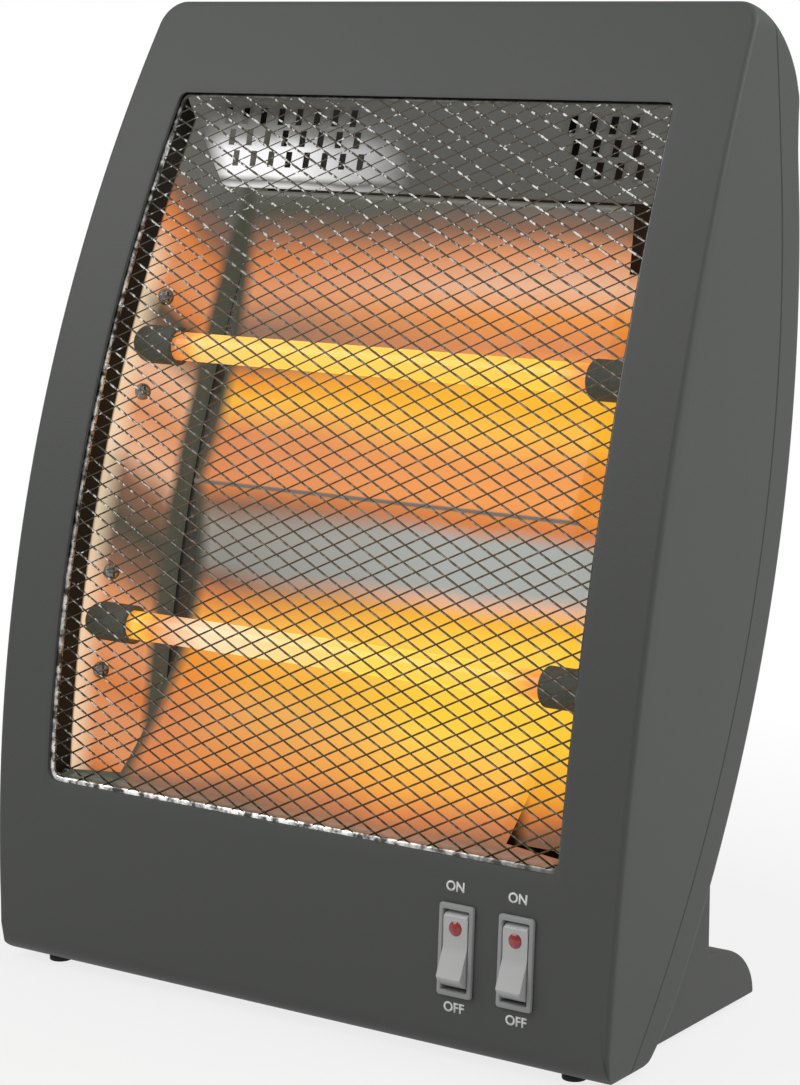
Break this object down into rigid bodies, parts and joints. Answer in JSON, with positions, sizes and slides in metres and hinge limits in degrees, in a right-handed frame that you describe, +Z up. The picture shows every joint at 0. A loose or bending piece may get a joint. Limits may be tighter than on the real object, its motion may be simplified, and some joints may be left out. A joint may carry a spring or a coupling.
{
  "type": "halogen heater",
  "caption": "Leaning tabletop radiant heater with quartz tubes behind a mesh guard, rocker switches with pilot lenses and rear feet.",
  "frame": {"origin": "Centre of the bounding box at floor level, under the middle of the heater.", "axes": "+X to the switch side (right, seen from the front), +Y from the face to the back, +Z up from the floor."},
  "size_m": [0.2854, 0.138, 0.3754],
  "materials": {
    "casing_plastic": "fine moulded grain, dark warm grey",
    "guard_wire": "bright expanded metal net",
    "sheet_steel": "plain rolled sheet",
    "mirror_aluminium": "bright polished sheet",
    "quartz_glass": "clear quartz",
    "heating_wire": "glowing resistance wire",
    "ceramic": "unglazed, dark grey-green",
    "screw_steel": "zinc plated",
    "switch_frame": "light grey moulded",
    "switch_plastic": "pale grey, satin",
    "pilot_lens": "lit red lens",
    "rubber": "black, matt",
    "black_plastic": "black moulded",
    "terminal_plastic": "cream moulded",
    "wire_insulation": "glass-braid sleeve, cream"
  },
  "bodies": {
    "heater": {"front_shell": "casing_plastic", "rear_cover": "casing_plastic", "mesh_guard": "guard_wire", "reflector_troughs": "mirror_aluminium", "reflector_top": "mirror_aluminium", "heat_shield": "sheet_steel", "reflector_side_left": "mirror_aluminium", "reflector_side_right": "mirror_aluminium", "quartz_tube_lower": "quartz_glass", "heating_coil_lower": "heating_wire", "tube_holder_lower_left": "ceramic", "holder_screw_lower_left_top": "screw_steel", "holder_screw_lower_left_bottom": "screw_steel", "tube_holder_lower_right": "ceramic", "holder_screw_lower_right_top": "screw_steel", "holder_screw_lower_right_bottom": "screw_steel", "quartz_tube_upper": "quartz_glass", "heating_coil_upper": "heating_wire", "tube_holder_upper_left": "ceramic", "holder_screw_upper_left_top": "screw_steel", "holder_screw_upper_left_bottom": "screw_steel", "tube_holder_upper_right": "ceramic", "holder_screw_upper_right_top": "screw_steel", "holder_screw_upper_right_bottom": "screw_steel", "switch_left_body": "switch_frame", "switch_right_body": "switch_frame", "foot_left": "casing_plastic", "foot_screw_left_lower": "screw_steel", "foot_screw_left_upper": "screw_steel", "pad_rear_left": "rubber", "pad_front_left": "rubber", "foot_right": "casing_plastic", "foot_screw_right_lower": "screw_steel", "foot_screw_right_upper": "screw_steel", "pad_rear_right": "rubber", "pad_front_right": "rubber", "cover_screw_top_left": "screw_steel", "cover_screw_top_right": "screw_steel", "cover_screw_bottom_left": "screw_steel", "cover_screw_bottom_right": "screw_steel", "tip_switch_body": "black_plastic", "terminal_block": "terminal_plastic", "thermal_cutout": "sheet_steel", "cord_bush": "rubber", "wire_supply": "wire_insulation", "wire_cutout": "wire_insulation", "wire_switches": "wire_insulation", "wire_link": "wire_insulation", "wire_lower_live": "wire_insulation", "wire_upper_live": "wire_insulation", "wire_lower_neutral": "wire_insulation", "wire_upper_neutral": "wire_insulation"},
    "left_rocker": {"switch_left_rocker": "switch_plastic", "switch_left_lens": "pilot_lens"},
    "right_rocker": {"switch_right_rocker": "switch_plastic", "switch_right_lens": "pilot_lens"},
    "tip_plunger": {"tip_plunger": "switch_plastic"}
  },
  "joints": [
    {"name": "left_switch_rock", "type": "hinge", "parent": "heater", "child": "left_rocker", "pos_m": [0.0764, -0.05766, 0.04203], "axis": [1, 0, 0], "range_deg": [0, 20]},
    {"name": "right_switch_rock", "type": "hinge", "parent": "heater", "child": "right_rocker", "pos_m": [0.1014, -0.05766, 0.04203], "axis": [1, 0, 0], "range_deg": [0, 20]},
    {"name": "tip_plunger_slide", "type": "slide", "parent": "heater", "child": "tip_plunger", "axis": [0, 0, -1], "range_m": [0, 0.008], "stiffness_N_per_m": 30, "springref_m": 0.012}
  ]
}
